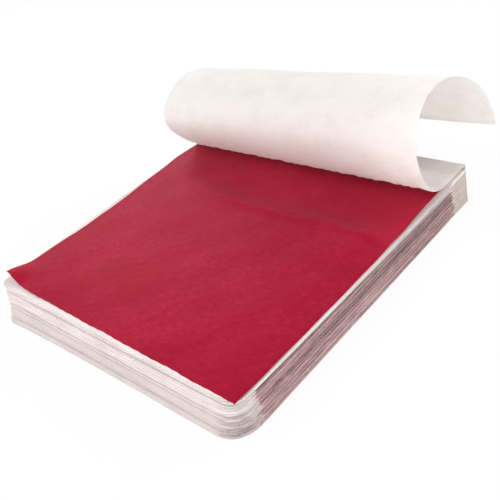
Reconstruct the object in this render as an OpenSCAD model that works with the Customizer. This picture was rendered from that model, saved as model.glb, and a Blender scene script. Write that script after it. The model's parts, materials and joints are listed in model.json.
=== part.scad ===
// A booklet of metal leaf: loose red leaves, each lying on its own sheet of tissue, glued along
// one edge. +X runs along the glued edge, +Y points at it, +Z is up, and z = 0 is the table.
// The origin is the middle of the lowest sheet's underside. All sizes are in millimetres.

/* [Tissue sheets] */
// Width of a tissue sheet, along the glued edge
sheet_w = 80; // [60:1:110]
// Depth of a tissue sheet, from the glued edge to the front
sheet_d = 85; // [70:1:110]
// Thickness of a tissue sheet
tissue_t = 0.04; // [0.03:0.01:0.08]
// Radius of a tissue sheet's two front corners
corner_r = 3; // [1:0.5:8]
// How much further forward the lowest sheet reaches than the top one
front_flare = 1.2; // [0:0.1:3]

/* [Metal leaves] */
// Distance from a leaf's side edges to those of its tissue sheet
leaf_side_inset = 0.3; // [0.1:0.1:4]
// Distance from the front of a sheet to the front edge of its leaf
leaf_front_inset = 4; // [2:0.5:10]
// Distance from the glued edge to the rear edge of a leaf
leaf_rear_inset = 5; // [3:0.5:9]
// Thickness that stands in for the leaf's real few thousandths
leaf_t = 0.04; // [0.03:0.01:0.08]
// How far the leaves low in the pile lie to the right
low_shift = 0.25; // [0:0.05:0.5]
// How far the leaves high in the pile lie to the left
high_shift = 0.7; // [0:0.1:1.5]
// How many pages from the top hold leaves that lie to the left
high_pages = 20; // [0:1:60]

/* [Pile] */
// Number of blocks that the pages are counted in
blocks = 10; // [2:1:10]
// Pages in each block, a page being one tissue sheet and its leaf
pages_per_block = 10; // [5:1:14]
// Air between a sheet and the next
air = 0.0125; // [0.01:0.0025:0.05]
// How unevenly the sheets are stacked, to each side
slip = 0.12; // [0:0.02:0.3]

/* [Glued edge] */
// Thickness of the dried glue behind the sheets
glue_t = 0.3; // [0.2:0.1:1]

/* [Top leaf] */
// How far the top leaf has slid forward from the place of the others
top_slide = 3.9; // [0:0.1:6]
// Height of its raised corner above the page
corner_lift = 1.7; // [0.5:0.1:4]
// Distance from that corner over which it rises
lift_reach = 26; // [10:1:40]

/* [Cover tissue] */
// Number of flat strips that the rolled cover tissue is made of
strips = 12; // [8:1:12]
// Angle through which the cover tissue rolls, from its flat root to its free edge
roll_angle = 247; // [180:1:260]
// Length that lies flat at the right end
flat_right = 11; // [6:0.5:25]
// Length that lies flat at the left end
flat_left = 14; // [6:0.5:25]
// Gap between two strips
strip_gap = 0.04; // [0.03:0.01:0.1]

/* [Hidden] */
// Red of the leaf, white of the tissue and beige of the glue
LEAF_RED = "#A8243F";
TISSUE_WHITE = "#F3ECEA";
GLUE_BEIGE = "#CFC3BD";

// Heights: a page is a tissue sheet and its leaf, with air above each
pitch = tissue_t + air + leaf_t + air;
page_count = blocks * pages_per_block;
pile_h = page_count * pitch;

// Edges of the pile
back_y = sheet_d / 2;
front_y = -sheet_d / 2;
right_x = sheet_w / 2;
left_x = -sheet_w / 2;

// Size of a leaf
leaf_w = sheet_w - 2 * leaf_side_inset;
leaf_d = sheet_d - leaf_front_inset - leaf_rear_inset;

// The two uppermost pages are pieces of their own, above the last block
single_pages = 2;
second_page = page_count - 2;
top_page = page_count - 1;

// Grid of the top leaf: cells each way
LEAF_CELLS = 14;
// Points on each rounded corner
CORNER_STEPS = 4;

// How the cover rolls up, as pairs of the angle turned and the share of the loose length used,
// at the right and at the left end. It turns quickly where it leaves the pile and over the top.
ROLL_RIGHT = [[0, 0], [20, 0.034], [62, 0.108], [84, 0.222], [110, 0.317], [143, 0.405],
    [177, 0.487], [196, 0.552], [209, 0.637], [229, 0.79], [247, 0.93], [260, 1]];
ROLL_LEFT = [[0, 0], [40, 0.042], [60, 0.127], [98, 0.229], [142, 0.325], [170, 0.433],
    [190, 0.497], [206, 0.59], [227, 0.75], [247, 0.922], [260, 1]];

// Two figures as text, for a name
function two(n) = n < 10 ? str("0", n) : str(n);

// A steady but uneven wander from sheet to sheet, between -1 and 1
function wander(n, phase) = sin(137.5 * n + phase) * cos(61 * n + 2 * phase);

// Underside of a page's tissue sheet, and of its leaf
function tissue_z(page) = page * pitch;
function leaf_z(page) = page * pitch + tissue_t + air;

// First page of a block, and how many pages it holds
function first_page(block) = (block - 1) * pages_per_block;
function block_pages(block) = block < blocks ? pages_per_block : pages_per_block - single_pages;

// Front edge of a tissue sheet: low sheets are pressed flat and reach further forward
function sheet_front(page) = front_y - front_flare * pow(1 - page / page_count, 2);

// Outline of a tissue sheet, with two rounded front corners
function sheet_outline(page) =
    let (x = slip * wander(page, 0),
         y0 = sheet_front(page) + slip * (1 + wander(page, 40)),
         x0 = left_x + slip + x,
         x1 = right_x - slip + x,
         r = corner_r)
    concat([[x0, back_y], [x0, y0 + r]],
        [for (i = [1:CORNER_STEPS]) let (a = 180 + 90 * i / CORNER_STEPS)
            [x0 + r + r * cos(a), y0 + r + r * sin(a)]],
        [for (i = [0:CORNER_STEPS]) let (a = 270 + 90 * i / CORNER_STEPS)
            [x1 - r + r * cos(a), y0 + r + r * sin(a)]],
        [[x1, back_y]]);

// Middle of a leaf in the pile
function leaf_x(page) =
    (page < page_count - high_pages ? low_shift : -high_shift) + slip * wander(page, 80);
function leaf_rear(page) = back_y - leaf_rear_inset + 3 * slip * wander(page, 120);

// One tissue sheet, and one leaf
module tissue(page) {
    translate([0, 0, tissue_z(page)])
        linear_extrude(tissue_t)
            polygon(sheet_outline(page));
}

module leaf(page) {
    translate([leaf_x(page) - leaf_w / 2, leaf_rear(page) - leaf_d, leaf_z(page)])
        cube([leaf_w, leaf_d, leaf_t]);
}

// The glue behind a run of pages
module glue(page, count) {
    translate([left_x, back_y, tissue_z(page)])
        cube([sheet_w, glue_t, count * pitch - air]);
}

// Pieces of a block: its tissue sheets, its leaves but the uppermost, that leaf, and its glue
module block_tissues(block) {
    color(TISSUE_WHITE)
        for (i = [0:block_pages(block) - 1])
            tissue(first_page(block) + i);
}

module block_leaves(block) {
    color(LEAF_RED)
        for (i = [0:block_pages(block) - 2])
            leaf(first_page(block) + i);
}

module block_leaf(block) {
    color(LEAF_RED)
        leaf(first_page(block) + block_pages(block) - 1);
}

module block_glue(block) {
    color(GLUE_BEIGE)
        glue(first_page(block), block_pages(block));
}

// The two single pages under the cover
module second_page_tissue() {
    color(TISSUE_WHITE) tissue(second_page);
}

module second_leaf() {
    color(LEAF_RED) leaf(second_page);
}

module second_page_glue() {
    color(GLUE_BEIGE) glue(second_page, 1);
}

module top_page_tissue() {
    color(TISSUE_WHITE) tissue(top_page);
}

module top_page_glue() {
    color(GLUE_BEIGE) glue(top_page, 1);
}

// Height of the top leaf above its page: it rises smoothly towards its left front corner
function lift(x, y) =
    let (d = min(1, norm([x, y]) / lift_reach))
    corner_lift * pow(1 - d, 2) * (1 + 2 * d);

// A thin sheet over a grid of nx by ny cells. under[i][j] is a point of its underside, and
// rise is the step from there to its upper side.
module thin_sheet(under, rise) {
    nx = len(under) - 1;
    ny = len(under[0]) - 1;
    row = ny + 1;
    layer = (nx + 1) * row;
    low = [for (i = [0:nx]) for (j = [0:ny]) under[i][j]];
    high = [for (p = low) p + rise];
    rim = concat([for (i = [0:nx - 1]) i * row], [for (j = [0:ny - 1]) nx * row + j],
        [for (i = [nx:-1:1]) i * row + ny], [for (j = [ny:-1:1]) j]);
    sides = [for (k = [0:len(rim) - 1]) [rim[k], rim[(k + 1) % len(rim)]]];
    polyhedron(concat(low, high), concat(
        [for (i = [0:nx - 1]) for (j = [0:ny - 1]) [i * row + j, (i + 1) * row + j, (i + 1) * row + j + 1]],
        [for (i = [0:nx - 1]) for (j = [0:ny - 1]) [i * row + j, (i + 1) * row + j + 1, i * row + j + 1]],
        [for (i = [0:nx - 1]) for (j = [0:ny - 1])
            [layer + i * row + j, layer + (i + 1) * row + j + 1, layer + (i + 1) * row + j]],
        [for (i = [0:nx - 1]) for (j = [0:ny - 1])
            [layer + i * row + j, layer + i * row + j + 1, layer + (i + 1) * row + j + 1]],
        [for (s = sides) [s[0], layer + s[0], layer + s[1]]],
        [for (s = sides) [s[0], layer + s[1], s[1]]]));
}

module top_leaf() {
    x0 = -leaf_w / 2;
    y0 = back_y - leaf_rear_inset - top_slide - leaf_d;
    under = [for (i = [0:LEAF_CELLS]) [for (j = [0:LEAF_CELLS])
        let (dx = leaf_w * i / LEAF_CELLS,
             dy = leaf_d * j / LEAF_CELLS)
        [x0 + dx, y0 + dy, leaf_z(top_page) + lift(dx, dy)]]];
    color(LEAF_RED)
        thin_sheet(under, [0, 0, leaf_t]);
}

// The cover tissue. Its mid-surface starts flat on the top page and turns by the same angle at
// each bend, and each bend is a straight line from the left end to the right end.
bend_angle = roll_angle / (strips - 1);
cover_z = pile_h + tissue_t / 2;

// Distance of a bend from the glued edge, measured along the sheet at one end
function bend_at(k, roll, flat) =
    k == 0 ? 0
    : k == strips ? sheet_d
    : flat + (sheet_d - flat) * lookup((k - 0.5) * bend_angle, roll);

// Place of each bend at one end, as [x, y, z], found by walking along the strips
function bend_points(x, roll, flat, k = 0, p = [back_y, cover_z]) =
    let (step = bend_at(k + 1, roll, flat) - bend_at(k, roll, flat),
         a = k * bend_angle,
         next = p + step * [-cos(a), sin(a)])
    concat([[x, p[0], p[1]]], k == strips - 1 ? [[x, next[0], next[1]]]
        : bend_points(x, roll, flat, k + 1, next));

right_bends = bend_points(right_x, ROLL_RIGHT, flat_right);
left_bends = bend_points(left_x, ROLL_LEFT, flat_left);
echo(left_bends = left_bends);
echo(right_bends = right_bends);
echo(bend_angle = bend_angle, cover_z = cover_z, pitch = pitch, pile_h = pile_h);

// A strip lies between two bends, and stops half a gap short of each
module cover_strip(n) {
    half = strip_gap / 2;
    a = (n - 1) * bend_angle;
    ahead = [0, -cos(a), sin(a)];
    normal = [0, sin(a), cos(a)];
    first = n == 1 ? 0 : half;
    last = n == strips ? 0 : half;
    ends = [[left_bends[n - 1] + first * ahead, left_bends[n] - last * ahead],
        [right_bends[n - 1] + first * ahead, right_bends[n] - last * ahead]];
    under = [for (e = ends) [e[1] - tissue_t / 2 * normal, e[0] - tissue_t / 2 * normal]];
    color(TISSUE_WHITE)
        thin_sheet(under, tissue_t * normal);
}

module cover_glue() {
    color(GLUE_BEIGE)
        translate([left_x, back_y, pile_h])
            cube([sheet_w, glue_t, tissue_t]);
}

BLOCK_NUMBERS = [for (b = [1:blocks]) b];
STRIP_NUMBERS = [for (n = [1:strips]) n];

for (b = BLOCK_NUMBERS) {
    block_tissues(b);
    block_leaves(b);
    block_leaf(b);
    block_glue(b);
}
second_page_tissue();
second_leaf();
second_page_glue();
top_page_tissue();
top_leaf();
top_page_glue();
for (n = STRIP_NUMBERS)
    cover_strip(n);
cover_glue();
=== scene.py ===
"""A booklet of red metal leaf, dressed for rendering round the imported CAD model.

Frame: +X runs along the glued edge, +Y points at it, +Z is up, z = 0 is the table. Shapes are
worked out in millimetres with numpy and scaled to metres when a mesh is made. Materials, lights
and the stage are in metres.
"""

import json
import math

import bpy
import numpy as np
from mathutils import Matrix, Vector


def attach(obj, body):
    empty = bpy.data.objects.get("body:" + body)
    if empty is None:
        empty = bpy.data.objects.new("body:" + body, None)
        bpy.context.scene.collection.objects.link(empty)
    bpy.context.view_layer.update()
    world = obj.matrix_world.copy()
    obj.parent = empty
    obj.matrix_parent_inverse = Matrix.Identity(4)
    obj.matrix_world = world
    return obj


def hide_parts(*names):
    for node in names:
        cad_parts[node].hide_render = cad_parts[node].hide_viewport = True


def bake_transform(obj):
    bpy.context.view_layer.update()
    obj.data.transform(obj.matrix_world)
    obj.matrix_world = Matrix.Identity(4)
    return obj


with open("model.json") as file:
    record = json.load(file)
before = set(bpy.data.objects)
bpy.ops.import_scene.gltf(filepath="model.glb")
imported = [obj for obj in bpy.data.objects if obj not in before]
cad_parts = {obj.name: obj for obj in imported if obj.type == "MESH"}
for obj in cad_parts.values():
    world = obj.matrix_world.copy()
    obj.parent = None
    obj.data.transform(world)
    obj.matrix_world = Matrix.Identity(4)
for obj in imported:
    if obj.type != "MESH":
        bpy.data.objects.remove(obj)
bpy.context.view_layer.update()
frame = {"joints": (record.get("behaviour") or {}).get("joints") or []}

MM = 0.001

# Sizes that the CAD source has too: tissue sheets
SHEET_W = 80.0
SHEET_D = 85.0
TISSUE_T = 0.04
CORNER_R = 3.0
SLIP = 0.12
# Metal leaves, and how far the leaves of the highest pages end short at the right
LEAF_T = 0.04
LEAF_SIDE = 0.3
LEAF_FRONT = 4.0
LEAF_REAR = 5.0
HIGH_SHIFT = 0.7
HIGH_PAGES = 20
# Top leaf: how far it has slid forward, and how far from its corner it rises
TOP_SLIDE = 3.9
LIFT_REACH = 26.0
# Pile and glued edge
AIR = 0.0125
PAGES = 100
BLOCKS = 10
PER_BLOCK = 10
SINGLE_PAGES = 2
GLUE_T = 0.3
# Cover tissue: number of strips, angle of the roll, and what lies flat at each end
STRIPS = 12
ROLL_ANGLE = 247.0
FLAT_RIGHT = 11.0
FLAT_LEFT = 14.0

# Sizes that follow from them
PITCH = TISSUE_T + LEAF_T + 2 * AIR
PILE_H = PAGES * PITCH
SECOND_PAGE = PAGES - 2
TOP_PAGE = PAGES - 1
BACK = SHEET_D / 2
FRONT = -SHEET_D / 2
LEAF_W = SHEET_W - 2 * LEAF_SIDE
LEAF_D = SHEET_D - LEAF_FRONT - LEAF_REAR
BEND = ROLL_ANGLE / (STRIPS - 1)

# Sizes of the scene's own. The left front corner is a little sharper than the right one, and the
# lowest sheets reach further to the left than the uppermost, and further forward, by more than
# the 1.2 mm of the CAD source.
LEFT_R = 2.4
FLARE = 1.8
LEFT_FLARE = 0.8
# A tissue is drawn thicker where no leaf lies on it, which keeps the pile's edges closed
MARGIN_T = 0.076
# Air drawn between a tissue and its leaf
UNDER_LEAF = 0.005
# First page of the uppermost tissues, which end a little short at the right, and first page of
# those below them that end a little long
SHORT_FROM = 90
LONG_FROM = 83
# Mesh columns and rows of the top leaf, and columns of the cover and of the glue film
TOP_LEAF_COLUMNS = 170
TOP_LEAF_ROWS = 160
COVER_COLUMNS = 161
GLUE_COLUMNS = 90
# Edges between faces that turn by more than this are drawn sharp
SHARP_DEGREES = 50

# How the cover rolls up at its right and left end: the angle turned and the share of the loose
# length used, up to the angle at the free edge
FREE_EDGE = 260
ROLL_RIGHT = np.array([[0, 0], [20, 0.034], [62, 0.108], [84, 0.222], [110, 0.317], [143, 0.405],
                       [177, 0.487], [196, 0.552], [209, 0.637], [229, 0.79], [247, 0.93], [FREE_EDGE, 1]])
ROLL_LEFT = np.array([[0, 0], [40, 0.042], [60, 0.127], [98, 0.229], [142, 0.325], [170, 0.433],
                      [190, 0.497], [206, 0.59], [227, 0.75], [247, 0.922], [FREE_EDGE, 1]])
# How far the foot of the roll is set back at the left and the right end, and the share of its
# worked-out height that the roll keeps
LEAN_LEFT = 2.2
LEAN_RIGHT = 0.9
ROLL_HEIGHT = 0.965
# Mesh rings of the flat root
ROOT_RINGS = 6


# Meshes

def make_object(name, vertices, quads, smooth):
    """Mesh object from (n, 3) points in millimetres, (m, 4) quads and (m,) flags that are true on
    the two sides and false on the cut edge, which takes the second material."""
    mesh = bpy.data.meshes.new(name)
    mesh.vertices.add(len(vertices))
    mesh.vertices.foreach_set("co", (vertices * MM).astype(np.float32).ravel())
    mesh.loops.add(quads.size)
    mesh.loops.foreach_set("vertex_index", quads.astype(np.int32).ravel())
    mesh.polygons.add(len(quads))
    mesh.polygons.foreach_set("loop_start", np.arange(0, quads.size, 4, dtype=np.int32))
    mesh.polygons.foreach_set("use_smooth", smooth)
    mesh.polygons.foreach_set("material_index", (~smooth).astype(np.int32))
    mesh.update(calc_edges=True)
    mesh.set_sharp_from_angle(angle=math.radians(SHARP_DEGREES))
    piece = bpy.data.objects.new(name, mesh)
    bpy.context.collection.objects.link(piece)
    return piece


def sheet_faces(rows, columns):
    """Quads and smooth flags of one closed sheet: a lower and an upper grid of rows x columns
    points, and a rim that joins their borders. The upper side's normal is row step x column step."""
    index = np.arange(rows * columns).reshape(rows, columns)
    a, b, c, d = index[:-1, :-1], index[1:, :-1], index[1:, 1:], index[:-1, 1:]
    upper = rows * columns
    top = np.stack([a, b, c, d], -1).reshape(-1, 4) + upper
    bottom = np.stack([a, d, c, b], -1).reshape(-1, 4)
    border = np.concatenate([index[:, 0], index[-1, 1:], index[-2::-1, -1], index[0, -2:0:-1]])
    after = np.roll(border, -1)
    rim = np.stack([border, after, after + upper, border + upper], -1)
    flags = np.ones(len(top) * 2 + len(rim), bool)
    flags[len(top) * 2:] = False
    return np.concatenate([top, bottom, rim]), flags


def stack_object(name, lower, upper):
    """Object of several closed sheets. lower and upper are (sheets, rows, columns, 3) points."""
    sheets, rows, columns = lower.shape[:3]
    quads, flags = sheet_faces(rows, columns)
    points = np.concatenate([lower.reshape(sheets, -1, 3), upper.reshape(sheets, -1, 3)], 1)
    steps = np.arange(sheets)[:, None, None] * points.shape[1]
    return make_object(name, points.reshape(-1, 3), (quads[None] + steps).reshape(-1, 4),
                       np.tile(flags, sheets))


def ease(t):
    """Smooth step t^2 (3 - 2 t), t being held between 0 and 1."""
    t = np.clip(t, 0, 1)
    return t * t * (3 - 2 * t)


# How the sheets lie in the pile

def wander(n, phase):
    """Uneven wander from sheet to sheet, -1 to 1: sin(137.5 n + phase) cos(61 n + 2 phase), in degrees."""
    return np.sin(np.radians(137.5 * n + phase)) * np.cos(np.radians(61 * n + 2 * phase))


# Places where the pile has opened a little: the page above the gap, its height in millimetres
# at the front edge and at the two sides, a phase along the edge, and how far the sheets above it
# stand forward, as a share
GAPS = np.array([
    [4, 0.05, 0.02, 0.3, 0.6], [13, 0.50, 0.03, 1.9, -0.3], [21, 0.15, 0.03, 4.0, 0.2],
    [30, 0.03, 0.05, 2.6, -0.4], [38, 0.27, 0.03, 0.9, -0.1], [50, 0.50, 0.04, 5.2, 0.9],
    [60, 0.03, 0.04, 3.3, 0.6], [69, 0.05, 0.05, 1.2, 1.0], [76, 0.03, 0.03, 4.6, 0.7],
    [82, 0.42, 0.05, 2.2, -0.2], [90, 0.03, 0.05, 5.8, 0.1], [97, 0.03, 0.05, 0.1, 0.0]])
GAP_PAGE = GAPS[:, 0]
GAP_FRONT = GAPS[:, 1]
GAP_CLUMP = GAPS[:, 4]
# What a gap gains in height at the right front corner, and what the lowest gap gains there
CORNER_GAIN = 0.35
LOWEST_CORNER_GAIN = 4.3
# Distances over which a gap closes away from the front, from that corner, from a side and
# before the glued edge, and the width of the band at the glued edge that has no gap
FRONT_REACH = 5.5
CORNER_REACH = 6.0
SIDE_REACH = 7.0
REAR_REACH = 12.0
GLUED_BAND = 4
# A groove's depth for each millimetre of its gap, and its width in pages
GROOVE_DEPTH = 3.4
GROOVE_WIDTH = 1.8


def clump(n):
    """How far a page stands forward with the pages that it clings to, -1 to 1."""
    index = np.searchsorted(GAP_PAGE, n, side="right")
    return np.concatenate([[0.0], GAP_CLUMP])[index]


def groove(n):
    """How far a page stands back beside a gap: depth * exp(-(distance in pages / width)^2), with
    a depth in proportion to the gap."""
    distance = np.asarray(n, float)[..., None] - (GAP_PAGE - 0.5)
    return np.sum(GROOVE_DEPTH * GAP_FRONT * np.exp(-(distance / GROOVE_WIDTH) ** 2), -1)


def rise(n, x, y):
    """Height that page n lies above its even place. Gap j lifts the pages above it and presses
    all pages together by the same amount: sum of g_j(x, y) * (step(n >= j) - n / pages)."""
    front = np.exp(-((y - FRONT) / FRONT_REACH) ** 2)
    corner = np.exp(-((SHEET_W / 2 - x) / CORNER_REACH) ** 2)
    side = np.exp(-((SHEET_W / 2 - np.abs(x)) / SIDE_REACH) ** 2) * (1 - front)
    rear = np.clip((BACK - GLUED_BAND - y) / REAR_REACH, 0, 1)
    total = np.zeros(np.broadcast(n, x, y).shape)
    for page, at_front, at_side, phase, _ in GAPS:
        gain = LOWEST_CORNER_GAIN if page == GAP_PAGE[0] else CORNER_GAIN
        along = 0.65 + 0.15 * np.sin(x * 0.085 + phase * 2) * np.cos(x * 0.031 + phase) + gain * corner
        down = 0.62 + 0.38 * np.sin(y * 0.09 + phase) * np.cos(y * 0.037 + 3 * phase)
        gap = at_front * front * along + at_side * side * down
        total += gap * rear * (1.0 * (n >= page) - n / PAGES)
    return total


# Columns and rows that tissue sheets and leaves share, so that none cuts into the next
INNER_X = np.array([-38.4, -37, -35, -32, -28, -23, -18, -12, -6, 0, 6, 12, 18, 23, 28, 32, 35, 37, 38.4])
INNER_Y = np.array([-36.5, -34.5, -32, -29, -25, -20, -15, -9, -3, 3, 9, 15, 21, 26, 30, 33, 35, 36.2])
# Columns and rows that only the tissues have, in their margins
MARGIN_X = np.array([39.15, 39.5, 39.8])
MARGIN_FRONT = -38.9
MARGIN_REAR = [37.0, 38.2, 39.4, 41.0, BACK]
# Rows along a rounded corner, as shares of its depth, and the most that this depth may be
CORNER_SHARES = np.array([0, 0.01, 0.04, 0.1, 0.2, 0.33, 0.53, 0.77, 1.0])
CORNER_DEPTH = 3.5


def tissue_middle(n):
    """Place of a tissue's middle along the glued edge."""
    return 0.06 * wander(n, 0) + 0.05 * clump(n)


def leaf_sides(n):
    """Left and right edge of a leaf. Low in the pile it ends flush with its tissue at the right,
    and high in the pile and beside a gap it leaves a margin there."""
    middle = tissue_middle(n) + 0.03 * wander(n, 80)
    right = np.where(n < PAGES - HIGH_PAGES, LEAF_W / 2 + 0.15, LEAF_W / 2 - HIGH_SHIFT)
    return middle - LEAF_W / 2 + 0.1, middle + right - 0.5 * groove(n)


def tissue_points(pages):
    """Lower and upper points of tissue sheets. The outline is a rectangle whose two front corners
    are rounded: t behind the front edge the half width is w - r + sqrt(r^2 - (r - t)^2). The sheet
    is thicker where no leaf lies on it: at the sides, at the front and along the glued edge."""
    n = np.asarray(pages, float)[:, None, None]
    low = (1 - n / PAGES) ** 2
    front = FRONT - FLARE * low + SLIP * (1 + wander(n, 40)) - 0.22 * clump(n) + groove(n)
    radius = CORNER_R + 3.2 * low + 0.5 * clump(n)
    near = front + CORNER_SHARES[None, :, None] * np.minimum(radius, CORNER_DEPTH)
    far = np.concatenate([[MARGIN_FRONT], INNER_Y, MARGIN_REAR])[None, :, None]
    y = np.concatenate([near, np.broadcast_to(far, (len(n), far.shape[1], 1))], 1)
    depth = np.clip(y - front, 0, radius)
    # columns as shares of the half width: along the corners, and behind them, where the inner
    # columns keep the places that they share with the leaves
    full = SHEET_W / 2 - SLIP
    rounded = np.concatenate([-MARGIN_X[::-1], INNER_X, MARGIN_X]) / MARGIN_X[-1]
    straight = np.concatenate([[-1.0], -MARGIN_X[1::-1] / full, INNER_X / full, MARGIN_X[:2] / full, [1.0]])
    share = np.where(depth < radius - 0.01, rounded[None, None, :], straight[None, None, :])
    # the right corner is the rounder one
    corner = np.where(share > 0, radius, LEFT_R)
    half = full - corner + np.sqrt(corner ** 2 - (corner - np.minimum(depth, corner)) ** 2)
    # at the right the uppermost tissues end a little short and those below them a little long
    short = np.where(n >= SHORT_FROM, -0.8, np.where(n >= LONG_FROM, 0.14, 0.0))
    x = tissue_middle(n) + share * (half + short * (share > 0) + LEFT_FLARE * low * (share < 0))
    # the side edges wander by a few hundredths of a millimetre
    edge = np.abs(share) > 0.999
    x = x + edge * 0.03 * np.sin(y * 0.23 + n * 2.1) * np.cos(y * 0.071 + n)
    # the left front corner reaches further forward low in the pile, and the front edge wanders
    y = y - LEFT_FLARE * low * np.clip(-x / 40, 0, 1) ** 2 * np.clip((-30 - y) / 12, 0, 1)
    y = y + (np.arange(y.shape[1]) == 0)[None, :, None] * 0.05 * np.sin(x * 0.19 + n * 1.7)
    leaf_left, leaf_right = leaf_sides(n)
    beside = np.clip(np.maximum(x - leaf_right, leaf_left - x) / 0.3, 0, 1)
    before = np.clip((-39.0 - y) / 1.2, 0, 1)
    behind = np.clip((y - 38.3) / 1.2, 0, 1)
    bare = np.maximum(before, np.maximum(behind, beside))
    z = n * PITCH + rise(n, x, y)
    lower = np.stack([x, y, z], -1)
    upper = np.stack([x, y, z + (TISSUE_T + (MARGIN_T - TISSUE_T) * bare)], -1)
    # rows run along y and columns along x, so rows and columns change places for an upward normal
    return lower.transpose(0, 2, 1, 3), upper.transpose(0, 2, 1, 3)


def both_ends(count):
    """Flags that are true at the first and the last of count places."""
    index = np.arange(count)
    return (index == 0) | (index == count - 1)


def leaf_points(pages):
    """Lower and upper points of leaves in the pile: rectangles with slightly torn edges."""
    n = np.asarray(pages, float)[:, None, None]
    left, right = leaf_sides(n)
    rear = BACK - LEAF_REAR - 0.8 + 4 * SLIP * wander(n, 120) + 0.3 * clump(n)
    front = FRONT + LEAF_FRONT + 0.5 + 2 * SLIP * wander(n, 200) + 0.3 * clump(n)
    inner_x = np.broadcast_to(INNER_X[None, None, :], (len(n), 1, INNER_X.size))
    x = np.concatenate([left, inner_x, right], 2)
    inner_y = np.broadcast_to(INNER_Y[None, :, None], (len(n), INNER_Y.size, 1))
    y = np.concatenate([front, inner_y, rear], 1)
    torn = 0.04 * np.sin(y * 0.6 + n * 1.3) * np.cos(y * 0.17 + n * 2.9)
    x = x + both_ends(x.shape[2])[None, None, :] * torn
    y = y + both_ends(y.shape[1])[None, :, None] * 0.08 * np.sin(x * 0.5 + n * 0.7)
    z = n * PITCH + TISSUE_T + UNDER_LEAF + rise(n, x, y)
    lower = np.stack([x, y, z], -1)
    upper = np.stack([x, y, z + LEAF_T], -1)
    return lower.transpose(0, 2, 1, 3), upper.transpose(0, 2, 1, 3)


# Course of the top leaf's left and right edge: place along y and along x, in millimetres
LEFT_EDGE = np.array([[-41, -39.4], [-38, -39.1], [-35, -39.1], [-22, -38.8], [-8, -38.5], [8, -39.4],
                      [20, -40.2], [27, -40.0], [34, -39.0]])
RIGHT_EDGE = np.array([[-42, 40.3], [-25, 40.5], [0, 40.7], [14, 40.5], [30, 39.8]])
# How far the leaf lies askew, as a slope, and the place of its raised left front corner
ASKEW = 0.0171
RAISED_X = -39.5
RAISED_Y = -39.8
# The two terms of the raised corner, as height and reach
LIFTS = ((0.5, LIFT_REACH), (1.4, 8.0))
# The fold before the roll: its place along y, and where, how steeply and how softly it turns
FOLD_Y = 8.4
TURN_X = -18
TURN_SLOPE = 0.8
TURN_WIDTH = 3.0
# Heights of the fold and of its crest, their width behind the crest line, and each one's in front
FOLD_HEIGHT = 0.4
CREST_HEIGHT = 0.46
BEHIND_WIDTH = 3.5
FOLD_WIDTH = 9.0
CREST_WIDTH = 1.3


def top_leaf_points():
    """Lower and upper points of the top leaf: it lies flat under the cover, has a low fold in front
    of it, undulates gently, droops over the right edge, and rises to its left front corner by two
    terms of the form lift * (1 - d)^2 (1 + 2 d), d being the distance from the corner as a share of
    the reach. The fold is the sum of two terms height * exp(-(across / width)^2), of which the
    crest is the steeper in front, and it turns to the left rear at its left end."""
    u = np.linspace(0, 1, TOP_LEAF_COLUMNS)[:, None]
    v = np.linspace(0, 1, TOP_LEAF_ROWS)[None, :]
    y = BACK - LEAF_REAR - TOP_SLIDE - LEAF_D + 0.3 + LEAF_D * v + 0 * u
    left = np.interp(y, LEFT_EDGE[:, 0], LEFT_EDGE[:, 1])
    right = np.interp(y, RIGHT_EDGE[:, 0], RIGHT_EDGE[:, 1])
    x = left + (right - left) * u
    y = y + ASKEW * (38 - x) * (1 - v)
    # the raised corner is drawn back by a millimetre
    y = y + 1.0 * np.exp(-((x + 40) / 5) ** 2) * (1 - v) ** 4
    away = np.hypot(x - RAISED_X, y - RAISED_Y)
    lift = 0
    for height, reach in LIFTS:
        d = np.clip(away / reach, 0, 1)
        lift = lift + height * (1 - d) ** 2 * (1 + 2 * d)
    bare = ease((26 - y) / 8)
    rim = np.clip(np.minimum(SHEET_W / 2 - np.abs(x), y - y.min() + 1) / 6, 0.15, 1)
    waves = (np.sin(x * 0.21 + 1.2 * np.sin(y * 0.08)) * np.cos(y * 0.17 + 0.5)
             + 0.6 * np.sin(x * 0.47 - y * 0.31 + 1.1) + 0.45 * np.sin(x * 0.33 + y * 0.62 + 2.3))
    fine = np.sin(x * 1.3 + 2 * np.sin(y * 0.4)) * np.sin(y * 1.1 + 1.7 * np.sin(x * 0.35))
    turned = TURN_SLOPE * TURN_WIDTH * np.log1p(np.exp((TURN_X - x) / TURN_WIDTH))
    across = y - FOLD_Y - turned + 0.4 * np.sin(x * 0.14 + 1)
    fold = FOLD_HEIGHT * np.exp(-(across / np.where(across > 0, BEHIND_WIDTH, FOLD_WIDTH)) ** 2)
    crest = CREST_HEIGHT * np.exp(-(across / np.where(across > 0, BEHIND_WIDTH, CREST_WIDTH)) ** 2)
    # the crest fades out to the left
    crest = crest * np.clip((x + 25) / 15, 0, 1)
    swell = 0.1 * (1 + 0.45 * waves) + 0.012 * (1 + fine) + fold + crest
    droop = 0.15 * np.clip((x - 39.6) / 0.9, 0, 1) ** 2 * np.clip((18 - y) / 6, 0, 1)
    base = PILE_H - PITCH + TISSUE_T + UNDER_LEAF
    z = base + rise(TOP_PAGE, x, y) + lift + bare * rim * swell - droop
    # uneven edges, at the front and at the two sides
    edge = 0.1 * np.sin(x * 0.45 + 0.8) * np.cos(x * 0.13) + 0.04 * np.sin(x * 2.1)
    y = y + edge * (v < 0.001)
    x = x + 0.06 * np.sin(y * 0.5) * (u > 0.999) + 0.12 * np.sin(y * 0.4 + 2) * (u < 0.001)
    lower = np.stack([x, y, z], -1)
    upper = np.stack([x, y, z + LEAF_T], -1)
    return lower[None], upper[None]


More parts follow.
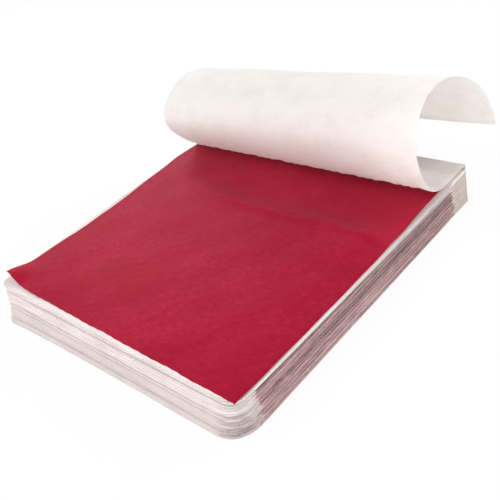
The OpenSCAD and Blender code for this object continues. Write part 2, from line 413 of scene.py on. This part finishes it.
def glue_points(low, high, seed):
    """Inner and outer points of the glue film behind the sheets from height low to high: a wall
    whose outer side is uneven by a few hundredths of a millimetre. seed shifts the unevenness."""
    x = np.linspace(-SHEET_W / 2, SHEET_W / 2, GLUE_COLUMNS)[:, None]
    # behind a single sheet the film is so low that it needs no rows between the outer two
    z = np.linspace(low, high, 5 if high - low > 0.2 else 2)[None, :]
    uneven = 0.04 * np.sin(x * 0.9 + seed) * np.cos(x * 0.27 + z * 2) + 0.02 * np.sin(x * 3.1 + z * 5)
    y = BACK + GLUE_T - 0.06 + uneven
    inner = np.stack([x + 0 * z, BACK + 0 * x + 0 * z, z + 0 * x], -1)
    outer = np.stack([x + 0 * z, y, z + 0 * x], -1)
    # the outer side looks along +Y: rows along z, columns along x
    return inner.transpose(1, 0, 2)[None], outer.transpose(1, 0, 2)[None]


# Cover tissue

def roll_curve(table, flat, angles):
    """Mid-line of one end of the rolled cover, as y and z for each angle it has turned. The share
    of the loose length used, s, follows the table, runs on evenly past its ends and is smoothed by
    exp(-(angle / 3.5)^2). The point moves by ds (-cos a, sin a)."""
    step = 0.25
    smoothing = 3.5
    fine = np.arange(-30, 300, step)
    first_slope = table[1, 1] / table[1, 0]
    last_slope = (table[-1, 1] - table[-2, 1]) / (table[-1, 0] - table[-2, 0])
    share = np.interp(fine, table[:, 0], table[:, 1])
    share = np.where(fine < 0, fine * first_slope, share)
    share = np.where(fine > FREE_EDGE, 1 + (fine - FREE_EDGE) * last_slope, share)
    kernel = np.exp(-(np.arange(-32, 33) * step / smoothing) ** 2)
    share = np.convolve(share, kernel / kernel.sum(), "same")
    share = share - np.interp(0, fine, share)
    share = share / np.interp(FREE_EDGE, fine, share)
    length = flat + (SHEET_D - flat) * np.interp(angles, fine, share)
    middle = np.radians((angles[1:] + angles[:-1]) / 2)
    along = np.diff(length)
    y = BACK - flat - np.concatenate([[0], np.cumsum(along * np.cos(middle))])
    z = PILE_H + TISSUE_T / 2 + np.concatenate([[0], np.cumsum(along * np.sin(middle))])
    return y, z


def cover_rings():
    """Rings of the cover tissue from the glued edge to the free edge: the flat root's, then one for
    each degree. Returns the angle of each, and its end points at the left and the right, which
    straight lines join."""
    angles = np.arange(0, FREE_EDGE + 1, 1.0)
    root = np.linspace(0, 1, ROOT_RINGS + 1)[:-1]
    low = ease((105 - angles) / 55)
    ends = []
    for table, flat, lean in ((ROLL_LEFT, FLAT_LEFT, LEAN_LEFT), (ROLL_RIGHT, FLAT_RIGHT, LEAN_RIGHT)):
        y, z = roll_curve(table, flat, angles)
        y = np.concatenate([BACK - (flat - lean) * root, y + lean * low])
        z = np.concatenate([np.full(ROOT_RINGS, z[0]), z[0] + (z - z[0]) * ROLL_HEIGHT])
        ends.append((y, z))
    return np.concatenate([np.zeros(ROOT_RINGS), angles]), ends[0], ends[1]


def cover_sheet(name, angles, left, right):
    """Piece of the cover tissue between two rings, with a thickness along the sheet's normal
    (0, sin a, cos a). It lies in loose waves, and in small ones where it leaves the pile."""
    u = np.linspace(0, 1, COVER_COLUMNS)[None, :]
    a = np.radians(angles)[:, None]
    x = SHEET_W * (u - 0.5) + 0 * a
    y = left[0][:, None] * (1 - u) + right[0][:, None] * u
    z = left[1][:, None] * (1 - u) + right[1][:, None] * u
    normal = np.stack([0 * x, np.sin(a) + 0 * x, np.cos(a) + 0 * x], -1)
    loose = np.clip((a - 0.5) / 1.2, 0, 1) * np.clip((6.2 - a) / 1.0, 0, 1)
    waves = 0.5 + 0.25 * np.sin(x * 0.11 + 2.1 * a) + 0.25 * np.sin(x * 0.23 - 1.4 * a + 1.0)
    small = 0.14 * np.exp(-((a - 0.75) / 0.25) ** 2) * np.sin(x * 1.9 + 2.2 * np.sin(x * 0.57))
    x = x * (1 + 0.0022 * np.abs(2 * u - 1) ** 30 * np.sin(a * 5.3 + x * 0.05) * np.cos(a * 11.7))
    middle = np.stack([x, y, z], -1) + normal * (0.3 * loose * waves + small)[..., None]
    half = normal * TISSUE_T / 2
    return stack_object(name, (middle - half)[None], (middle + half)[None])


# Materials

def linear(code):
    """Linear RGBA of an sRGB hex colour."""
    c = np.array([int(code[i:i + 2], 16) for i in (1, 3, 5)]) / 255
    c = np.where(c <= 0.04045, c / 12.92, ((c + 0.055) / 1.055) ** 2.4)
    return (*[float(v) for v in c], 1.0)


def add(tree, kind, inputs=None, **settings):
    """Adds a node. inputs maps a socket to a value or to the output socket that feeds it."""
    made = tree.nodes.new(kind)
    for key, value in settings.items():
        setattr(made, key, value)
    for key, value in (inputs or {}).items():
        if isinstance(value, bpy.types.NodeSocket):
            tree.links.new(value, made.inputs[key])
        else:
            made.inputs[key].default_value = value
    return made


def empty_tree(owner):
    """Node tree of a material or of the world, without nodes."""
    owner.use_nodes = True
    owner.node_tree.nodes.clear()
    return owner.node_tree


def new_material(name):
    """Node material, its tree, and the object's own coordinates in metres."""
    material = bpy.data.materials.new(name)
    tree = empty_tree(material)
    place = add(tree, "ShaderNodeTexCoord").outputs["Object"]
    return material, tree, place


def ramp(tree, factor, stops, kind="EASE"):
    """Colour ramp over (position, hex colour) stops."""
    made = add(tree, "ShaderNodeValToRGB", {"Fac": factor})
    made.color_ramp.interpolation = kind
    while len(made.color_ramp.elements) < len(stops):
        made.color_ramp.elements.new(0.5)
    for element, (position, code) in zip(made.color_ramp.elements, stops):
        element.position = position
        element.color = linear(code)
    return made.outputs["Color"]


def per_mm(size):
    """Scale of a pattern on metre coordinates whose features are size millimetres wide."""
    return 1000.0 / size


def noise(tree, place, size, detail, roughness=0.5, distortion=0.0):
    """Noise node whose features are size millimetres wide."""
    return add(tree, "ShaderNodeTexNoise", {"Vector": place, "Scale": per_mm(size), "Detail": detail,
                                            "Roughness": roughness, "Distortion": distortion})


def stretched(tree, place, scale, turn=0.0):
    """Coordinates scaled along x, y and z, and then turned about z by so many radians."""
    return add(tree, "ShaderNodeMapping", {"Vector": place, "Rotation": (0.0, 0.0, turn),
                                           "Scale": scale}).outputs[0]


def calc(tree, operation, *values):
    """Result of a math node on sockets or numbers."""
    return add(tree, "ShaderNodeMath", dict(enumerate(values)), operation=operation).outputs[0]


def between(tree, value, span, result=(0.0, 1.0), kind="LINEAR"):
    """Runs over result while value runs over span, and stays level outside."""
    made = add(tree, "ShaderNodeMapRange", {"Value": value, "From Min": span[0], "From Max": span[1],
                                            "To Min": result[0], "To Max": result[1]},
               interpolation_type=kind)
    return made.outputs["Result"]


def blended(tree, factor, first, second, kind="RGBA"):
    """Runs from first to second while factor runs from 0 to 1; kind FLOAT is for plain values."""
    made = add(tree, "ShaderNodeMix", {"Factor": factor, "A": first, "B": second}, data_type=kind)
    return made.outputs["Result"]


def bump(tree, height, strength, distance, below=None):
    """Normal of a relief that is distance metres high at most, on top of the normal below."""
    inputs = {"Strength": strength, "Distance": distance, "Height": height}
    if below is not None:
        inputs["Normal"] = below
    return add(tree, "ShaderNodeBump", inputs).outputs[0]


def principled(tree, **inputs):
    """Principled shader. An underscore in a name stands for a space in the socket's."""
    named = {key.replace("_", " "): value for key, value in inputs.items()}
    return add(tree, "ShaderNodeBsdfPrincipled", named).outputs[0]


def finish_material(tree, shader):
    """Joins a shader to the material's surface."""
    add(tree, "ShaderNodeOutputMaterial", {"Surface": shader})


# Limits of what the glue and the leaves have stained, and of the painted shade, in metres: nothing at
# the first place, all at the second. The painted shade at the right front corner is measured as x less y.
SOAKED_REAR = (0.0388, 0.0396)
SOAKED_HEIGHT = (0.0135, 0.0115)
STAIN_AND_SHADE_SIDE = (0.0388, 0.0392)
STAIN_AND_SHADE_FRONT = (-0.0344, -0.0340)
STAIN_AND_SHADE_REAR = (0.0383, 0.0380)
STAIN_AND_SHADE_TOP = (0.0081, 0.0079)
DARK_LINE = (0.0072, 0.0077)
GLUED_REAR = (0.0388, 0.0392)
GLUED_HEIGHT = (0.0085, 0.0083)
PALE_HEIGHT = (0.0045, 0.0056)
SHADED_CORNER = (0.0762, 0.0795)
# How much lower the limit of the stain and its painted shade gets for each metre towards the glue
STAIN_AND_SHADE_SLOPE = 0.0175


def tissue_paper(name, light, mid, dark, soaked_tone, sheer):
    """Unbleached-white wood-free tissue, calendered thin: matt, cloudy where its fibres lie thick,
    and stained beige where the glue has soaked in along the rear edge. sheer is the share of the
    surface that lets light through."""
    material, tree, place = new_material(name)
    clouds = noise(tree, place, 5.0, 3.0, 0.6).outputs["Fac"]
    fibres = noise(tree, place, 0.8, 4.0, 0.65).outputs["Fac"]
    cloudy = calc(tree, "MULTIPLY", calc(tree, "ADD", clouds, fibres), 0.5)
    paper = ramp(tree, cloudy, [(0.36, dark), (0.5, mid), (0.62, light)])
    parts = add(tree, "ShaderNodeSeparateXYZ", {0: place})
    # the glue has soaked in raggedly
    ragged = noise(tree, place, 1.6, 2.0).outputs["Fac"]
    reach = calc(tree, "MULTIPLY_ADD", ragged, 0.003, parts.outputs["Y"])
    rear = between(tree, reach, SOAKED_REAR, kind="SMOOTHSTEP")
    # only in the pile, not where the rolled cover hangs over the edge
    piled = between(tree, parts.outputs["Z"], SOAKED_HEIGHT)
    colour = blended(tree, calc(tree, "MULTIPLY", rear, piled), paper, linear(soaked_tone))
    shader = principled(tree, Base_Color=colour, Roughness=0.78, Specular_IOR_Level=0.3,
                        Normal=bump(tree, cloudy, 0.35, 0.00003))
    through = add(tree, "ShaderNodeBsdfTranslucent", {"Color": colour})
    both = add(tree, "ShaderNodeMixShader", {0: sheer, 1: shader, 2: through.outputs[0]})
    finish_material(tree, both.outputs[0])
    return material


def metal_leaf(name):
    """Beaten aluminium leaf lacquered red: satin, broken up by the fine crinkles of beating and by
    the print of the tissue it lies on. It is about half metallic, as the lacquer hides the rest."""
    material, tree, place = new_material(name)
    # crinkles: the borders of cells 4 mm wide, shifted by up to 4 mm
    warp = noise(tree, place, 7.0, 2.0).outputs["Color"]
    moved = add(tree, "ShaderNodeVectorMath", {0: warp, 1: (0.004, 0.004, 0.0)}, operation="MULTIPLY")
    bent = add(tree, "ShaderNodeVectorMath", {0: place, 1: moved.outputs[0]}, operation="ADD")
    creases = add(tree, "ShaderNodeTexVoronoi", {"Vector": bent.outputs[0], "Scale": per_mm(4.0)},
                  feature="DISTANCE_TO_EDGE")
    crease = between(tree, creases.outputs["Distance"], (0.0, 0.12))
    grain = noise(tree, place, 0.5, 5.0, 0.7).outputs["Fac"]
    # colour: waves drawn out along x, in larger patches
    waves = noise(tree, stretched(tree, place, (0.5, 1.0, 1.0), 0.5), 0.9, 5.0, 0.7).outputs["Fac"]
    patches = noise(tree, place, 14.0, 3.0, distortion=0.6).outputs["Fac"]
    tone = blended(tree, 0.4, waves, patches, "FLOAT")
    colour = ramp(tree, tone, [(0.38, "#A5072B"), (0.5, "#AC0B31"), (0.62, "#B5163C")])
    low = bump(tree, crease, 0.3, 0.00003)
    shader = principled(tree, Base_Color=colour, Metallic=0.45, Specular_IOR_Level=0.2,
                        Roughness=between(tree, grain, (0.0, 1.0), (0.3, 0.44)),
                        Normal=bump(tree, grain, 0.5, 0.00004, low))
    finish_material(tree, shader)
    return material


def dried_glue(name):
    """Dried white bookbinder's glue, brushed on: a beige skin, a little shiny, with brush lines."""
    material, tree, place = new_material(name)
    streaks = noise(tree, stretched(tree, place, (0.25, 1.0, 1.0)), 0.9, 3.0).outputs["Fac"]
    colour = ramp(tree, streaks, [(0.3, "#CFC3BB"), (0.5, "#DDD3CC"), (0.72, "#EAE2DC")])
    shader = principled(tree, Base_Color=colour, Roughness=0.42, IOR=1.47,
                        Normal=bump(tree, streaks, 0.5, 0.00005))
    finish_material(tree, shader)
    return material


def cut_edges(name, high, low, stain_and_shade):
    """Cut edges of paper and of leaves: a pale tone high in the pile and a greyer one low in it, the greyer
    one painted shade. A mauve stain from the leaves lies over the sides in streaks, up to a sloping limit
    and as far as the leaves reach; its dark tones are partly painted shade, and more painted shade darkens
    it towards the glue. Glue colours the rear ends, and painted shade darkens the gaps between the lowest
    sheets at the right front corner."""
    material, tree, place = new_material(name)
    parts = add(tree, "ShaderNodeSeparateXYZ", {0: place})
    x, y, z = parts.outputs["X"], parts.outputs["Y"], parts.outputs["Z"]
    # long streaks along the sheets, and shorter flecks among them
    streaks = noise(tree, stretched(tree, place, (0.02, 0.02, 1.0)), 1.2, 3.0, 0.65).outputs["Fac"]
    flecks = noise(tree, stretched(tree, place, (0.25, 0.25, 1.0)), 0.7, 2.0, 0.6).outputs["Fac"]
    uneven = blended(tree, 0.4, streaks, flecks, "FLOAT")
    # height above a line that sinks towards the glue
    sloped = calc(tree, "MULTIPLY_ADD", y, STAIN_AND_SHADE_SLOPE, z)
    # painted shade: the greyer tone low in the pile stands for the shade on the lower bands of edges
    clean = blended(tree, between(tree, z, PALE_HEIGHT), linear(low), linear(high))
    # the lowest sheets are less stained
    paler = calc(tree, "ADD", uneven, between(tree, z, (0.0006, 0.0028), (0.08, 0.0)))
    # painted shade: the streaked tone darkens towards the glue; it is also darker in a band right below the
    # pale sheets
    paler = calc(tree, "ADD", paler, between(tree, y, (-0.01, 0.025), (0.0, -0.03)))
    paler = calc(tree, "ADD", paler, between(tree, sloped, DARK_LINE, (0.0, -0.06)))
    # painted shade: the dark end of this ramp also stands for the shade in the gaps between the sheets'
    # edges
    stain_and_shade_tone = ramp(tree, paler, [(0.4, stain_and_shade[0]), (0.5, stain_and_shade[1]), (0.6, stain_and_shade[2])], "LINEAR")
    # the leaves end raggedly, so the limits along y differ from sheet to sheet
    ragged = noise(tree, stretched(tree, place, (0.0, 0.05, 1.0)), 0.7, 3.0).outputs["Fac"]
    moved = calc(tree, "MULTIPLY_ADD", ragged, 0.005, y)
    mask = between(tree, calc(tree, "ABSOLUTE", x), STAIN_AND_SHADE_SIDE)
    for value, span in ((moved, STAIN_AND_SHADE_FRONT), (moved, STAIN_AND_SHADE_REAR), (sloped, STAIN_AND_SHADE_TOP)):
        mask = calc(tree, "MULTIPLY", mask, between(tree, value, span))
    behind = between(tree, moved, GLUED_REAR)
    glued = calc(tree, "MULTIPLY", behind, between(tree, z, GLUED_HEIGHT))
    # towards the glue the pale upper edges are a little stained too, the uppermost most of all, with the
    # same tones, which are partly painted shade
    nearer = between(tree, y, (-0.015, 0.03), (0.0, 0.75))
    higher = between(tree, z, (0.008, 0.0094), (0.1, 1.0))
    tinge = calc(tree, "MULTIPLY", nearer, calc(tree, "SUBTRACT", 1.0, behind))
    clean = blended(tree, calc(tree, "MULTIPLY", higher, tinge), clean, stain_and_shade_tone)
    # painted shade: dark streaks between the lowest sheets at the right front corner, where the gaps
    # between them lie in shade
    shaded_corner = between(tree, calc(tree, "SUBTRACT", x, y), SHADED_CORNER)
    streaked = between(tree, uneven, (0.55, 0.45))
    lowest = between(tree, z, (0.006, 0.0015), (0.25, 1.0))
    corner_gap_shade = calc(tree, "MULTIPLY", calc(tree, "MULTIPLY", shaded_corner, streaked), lowest)
    clean = blended(tree, corner_gap_shade, clean, linear(stain_and_shade[0]))
    bare = blended(tree, glued, clean, linear("#D3C4BE"))
    colour = blended(tree, mask, bare, stain_and_shade_tone)
    finish_material(tree, principled(tree, Base_Color=colour, Roughness=0.8, Specular_IOR_Level=0.2))
    return material


# painted shade: the pile's tissue has darker tones than the same tissue in the cover, standing for the
# shade it lies in
SHADED_PAPER = tissue_paper("tissue_paper", "#EAE1DE", "#E5DBD8", "#DFD4D1", "#DAD0CA", 0.0)
COVER_PAPER = tissue_paper("cover_tissue_paper", "#FCFAF8", "#FAF7F5", "#F6F2F0", "#F3EDEA", 0.42)
# painted shade: the low tone is greyer, and the stained tones partly darker, to stand for the shade on the
# pile's edges
PAPER_CUT = cut_edges("cut_tissue_edges", "#FBF5F4", "#E3DAD8", ("#5E383E", "#A07076", "#D0A3A7"))
LEAF = metal_leaf("red_metal_leaf")
# painted shade: the red leaves' cut edges are a dark mauve, standing for edges in shade and damping their
# glint
SHADED_LEAF_CUT = cut_edges("shaded_cut_leaf_edges", "#8C6068", "#8C6068", ("#422B2F", "#764F53", "#A57A7D"))
GLUE = dried_glue("dried_bookbinders_glue")
CUT_EDGE = {SHADED_PAPER: PAPER_CUT, LEAF: SHADED_LEAF_CUT}


# Pieces

def finish_piece(piece, material, slot, body, *nodes):
    """Gives a piece its material and its cut edges' material, hides the CAD nodes it stands for, and sets
    it on its body. slot is not used.
    """
    piece.data.materials.append(material)
    piece.data.materials.append(CUT_EDGE.get(material, material))
    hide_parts(*nodes)
    if body:
        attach(piece, body)


def add_tissues(name, pages, node, body):
    """Tissue sheets of a run of pages."""
    finish_piece(stack_object(name, *tissue_points(pages)), SHADED_PAPER, "tissue", body, node)


def add_leaves(name, pages, node, body):
    """Leaves of a run of pages."""
    finish_piece(stack_object(name, *leaf_points(pages)), LEAF, "metal_leaf", body, node)


def add_glue(name, low, high, node, body, seed):
    """Glue film behind a piece that can turn."""
    finish_piece(stack_object(name, *glue_points(low, high, seed)), GLUE, "glue", body, node)


# Blocks from the bottom up. The last one leaves the single pages over, and each block's uppermost
# leaf slides by itself.
for block in range(1, BLOCKS + 1):
    two = f"{block:02d}"
    body = "block_" + two
    start = (block - 1) * PER_BLOCK
    stop = start + PER_BLOCK if block < BLOCKS else PAGES - SINGLE_PAGES
    add_tissues("tissue_sheets_" + two, range(start, stop), "tissues_" + two, body)
    add_leaves("leaf_stack_" + two, range(start, stop - 1), "leaves_" + two, body)
    add_leaves("bare_leaf_" + two, [stop - 1], "leaf_" + two, "leaf_" + two)
    add_glue("glue_film_" + two, start * PITCH, stop * PITCH - AIR, "glue_" + two, body, block)

add_tissues("second_tissue_sheet", [SECOND_PAGE], "second_page_tissue", "second_page")
add_leaves("second_bare_leaf", [SECOND_PAGE], "second_leaf", "second_leaf")
add_glue("second_glue_film", SECOND_PAGE * PITCH, TOP_PAGE * PITCH - AIR, "second_page_glue",
         "second_page", BLOCKS + 1)
add_tissues("top_tissue_sheet", [TOP_PAGE], "top_page_tissue", "top_page")
add_glue("top_glue_film", TOP_PAGE * PITCH, PILE_H - AIR, "top_page_glue", "top_page", BLOCKS + 2)
finish_piece(stack_object("top_bare_leaf", *top_leaf_points()), LEAF, "metal_leaf", "top_leaf", "top_leaf")

# The cover is cut at the middle of each strip, so that each piece but the first and the last
# spans one hinge
ANGLES, LEFT_END, RIGHT_END = cover_rings()
CUTS = [0, ROOT_RINGS // 2]
CUTS += [ROOT_RINGS + int(round(k * BEND)) for k in range(1, STRIPS)]
CUTS += [len(ANGLES) - 1]
COVER_BODIES = ["cover_root"] + [f"cover_{k:02d}" for k in range(2, STRIPS + 1)]
HINGES = {j["name"]: j for j in frame["joints"]}
# How far a bending zone stays inside the border rings of its piece
ZONE_MARGIN = 0.06


def blend_span(k, first, last):
    """Start and end of the bending zone across hinge k, in metres: points before and behind the
    hinge line, as far from it as the nearer end of each border ring allows."""
    joint = HINGES[f"cover_bend_{k:02d}"]
    place = np.array(joint["pos_m"], float) / MM
    axis = np.array(joint["axis"], float)
    axis = axis / np.linalg.norm(axis)
    a = math.radians((k - 0.5) * BEND)
    along = np.array([0, -math.cos(a), math.sin(a)])
    along = along - axis * (along @ axis)
    along = along / np.linalg.norm(along)
    before, after = [], []
    for (y, z), x in ((LEFT_END, -SHEET_W / 2), (RIGHT_END, SHEET_W / 2)):
        before.append((np.array([x, y[first], z[first]]) - place) @ along)
        after.append((np.array([x, y[last], z[last]]) - place) @ along)
    low = max(before) + ZONE_MARGIN
    high = min(after) - ZONE_MARGIN
    return tuple((place + along * low) * MM), tuple((place + along * high) * MM)


for k in range(STRIPS + 1):
    first, last = CUTS[k], CUTS[k + 1]
    rows = slice(first, last + 1)
    piece = cover_sheet(f"cover_sheet_{k + 1:02d}", ANGLES[rows], (LEFT_END[0][rows], LEFT_END[1][rows]),
                        (RIGHT_END[0][rows], RIGHT_END[1][rows]))
    node = f"cover_strip_{min(k + 1, STRIPS):02d}"
    if k == 0:
        finish_piece(piece, COVER_PAPER, "cover_tissue", COVER_BODIES[0], node)
    elif k == STRIPS:
        finish_piece(piece, COVER_PAPER, "cover_tissue", COVER_BODIES[-1], node)
    else:
        finish_piece(piece, COVER_PAPER, "cover_tissue", None, node)
        start, end = blend_span(k, first, last)
        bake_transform(piece)
add_glue("cover_glue_film", PILE_H, PILE_H + TISSUE_T, "cover_glue", "cover_root", BLOCKS + 3)


# Stage, light and camera

FLOOR_HALF = 3.0
# A hair below z = 0, so that the floor doesn't coincide with the lowest sheet's underside
FLOOR_DROP = 0.00002
# Share of plain white in the floor as the camera sees it
FLOOR_GLOW = 0.93
# Strength of the white room's light on everything but the camera
ROOM_LIGHT = 0.48
PICTURE_PX = 500
SENSOR_MM = 36.0
PILE_MIDDLE = (0, 0, 0.01)


def paper_floor():
    """White paper floor. The camera sees it near plain white, with a faint shadow."""
    mesh = bpy.data.meshes.new("floor")
    corners = [(x * FLOOR_HALF, y * FLOOR_HALF, 0) for x, y in ((-1, -1), (1, -1), (1, 1), (-1, 1))]
    mesh.from_pydata(corners, [], [(0, 1, 2, 3)])
    floor = bpy.data.objects.new("floor", mesh)
    floor.location.z = -FLOOR_DROP
    bpy.context.collection.objects.link(floor)
    material = bpy.data.materials.new("white_paper_floor")
    tree = empty_tree(material)
    path = add(tree, "ShaderNodeLightPath")
    seen = calc(tree, "MULTIPLY", path.outputs["Is Camera Ray"], FLOOR_GLOW)
    paper = principled(tree, Base_Color=linear("#F4F4F4"), Roughness=0.9, Specular_IOR_Level=0.0)
    glow = add(tree, "ShaderNodeEmission", {"Color": linear("#FFFFFF"), "Strength": 1.0})
    both = add(tree, "ShaderNodeMixShader", {0: seen, 1: paper, 2: glow.outputs[0]})
    finish_material(tree, both.outputs[0])
    mesh.materials.append(material)


def white_room():
    """World: plain white to the camera, and an even light about half as strong to all else."""
    world = bpy.data.worlds.new("white_room")
    bpy.context.scene.world = world
    tree = empty_tree(world)
    path = add(tree, "ShaderNodeLightPath")
    lit = add(tree, "ShaderNodeBackground", {"Color": linear("#FFFFFF"), "Strength": ROOM_LIGHT})
    seen = add(tree, "ShaderNodeBackground", {"Color": linear("#FFFFFF"), "Strength": 1.0})
    both = add(tree, "ShaderNodeMixShader",
               {0: path.outputs["Is Camera Ray"], 1: lit.outputs[0], 2: seen.outputs[0]})
    add(tree, "ShaderNodeOutputWorld", {"Surface": both.outputs[0]})


def soft_lamp(name, place, target, size, watts):
    """Square soft box at place that looks at target; all in metres."""
    lamp = bpy.data.lights.new(name, "AREA")
    lamp.shape = "SQUARE"
    lamp.size = size
    lamp.energy = watts
    holder = bpy.data.objects.new(name, lamp)
    holder.location = place
    holder.rotation_euler = (Vector(target) - Vector(place)).to_track_quat("-Z", "Y").to_euler()
    bpy.context.collection.objects.link(holder)


def set_camera(azimuth, elevation, roll, distance, target, focal_px):
    """Camera that looks at target from distance, at azimuth and elevation and turned by roll.
    Lengths are in millimetres, target is on the table, and focal_px is in picture pixels."""
    az, el, ro = (math.radians(v) for v in (azimuth, elevation, roll))
    back = np.array([math.sin(az) * math.cos(el), -math.cos(az) * math.cos(el), math.sin(el)])
    right = np.array([math.cos(az), math.sin(az), 0.0])
    up = np.cross(back, right)
    r = right * math.cos(ro) + up * math.sin(ro)
    u = -right * math.sin(ro) + up * math.cos(ro)
    place = (np.array([target[0], target[1], 0.0]) + back * distance) * MM
    data = bpy.data.cameras.new("camera")
    data.sensor_width = SENSOR_MM
    data.lens = focal_px / PICTURE_PX * SENSOR_MM
    data.clip_start = 0.01
    camera = bpy.data.objects.new("camera", data)
    camera.matrix_world = Matrix(((r[0], u[0], back[0], place[0]), (r[1], u[1], back[1], place[1]),
                                  (r[2], u[2], back[2], place[2]), (0, 0, 0, 1)))
    bpy.context.collection.objects.link(camera)
    bpy.context.scene.camera = camera


paper_floor()
white_room()
soft_lamp("key", (-0.3, -0.35, 0.8), PILE_MIDDLE, size=0.6, watts=3.5)
soft_lamp("back", (0.25, 0.7, 0.6), PILE_MIDDLE, size=0.5, watts=1.1)
soft_lamp("sheen", (-0.46, 0.26, 0.3), PILE_MIDDLE, size=0.25, watts=0.16)
soft_lamp("front", (0.05, -0.65, 0.26), (0, 0, 0.02), size=0.4, watts=1.6)
soft_lamp("side", (0.65, -0.3, 0.12), (0, 0.03, 0.02), size=0.3, watts=0.55)
soft_lamp("under_the_roll", (0.38, 0.65, 0.32), (0.03, 0.035, 0.015), size=0.3, watts=3.4)
set_camera(azimuth=50.35, elevation=34.22, roll=-16.16, distance=182.18, target=(0.23, 4.25),
           focal_px=717.91)

bpy.context.scene.view_settings.view_transform = "Standard"
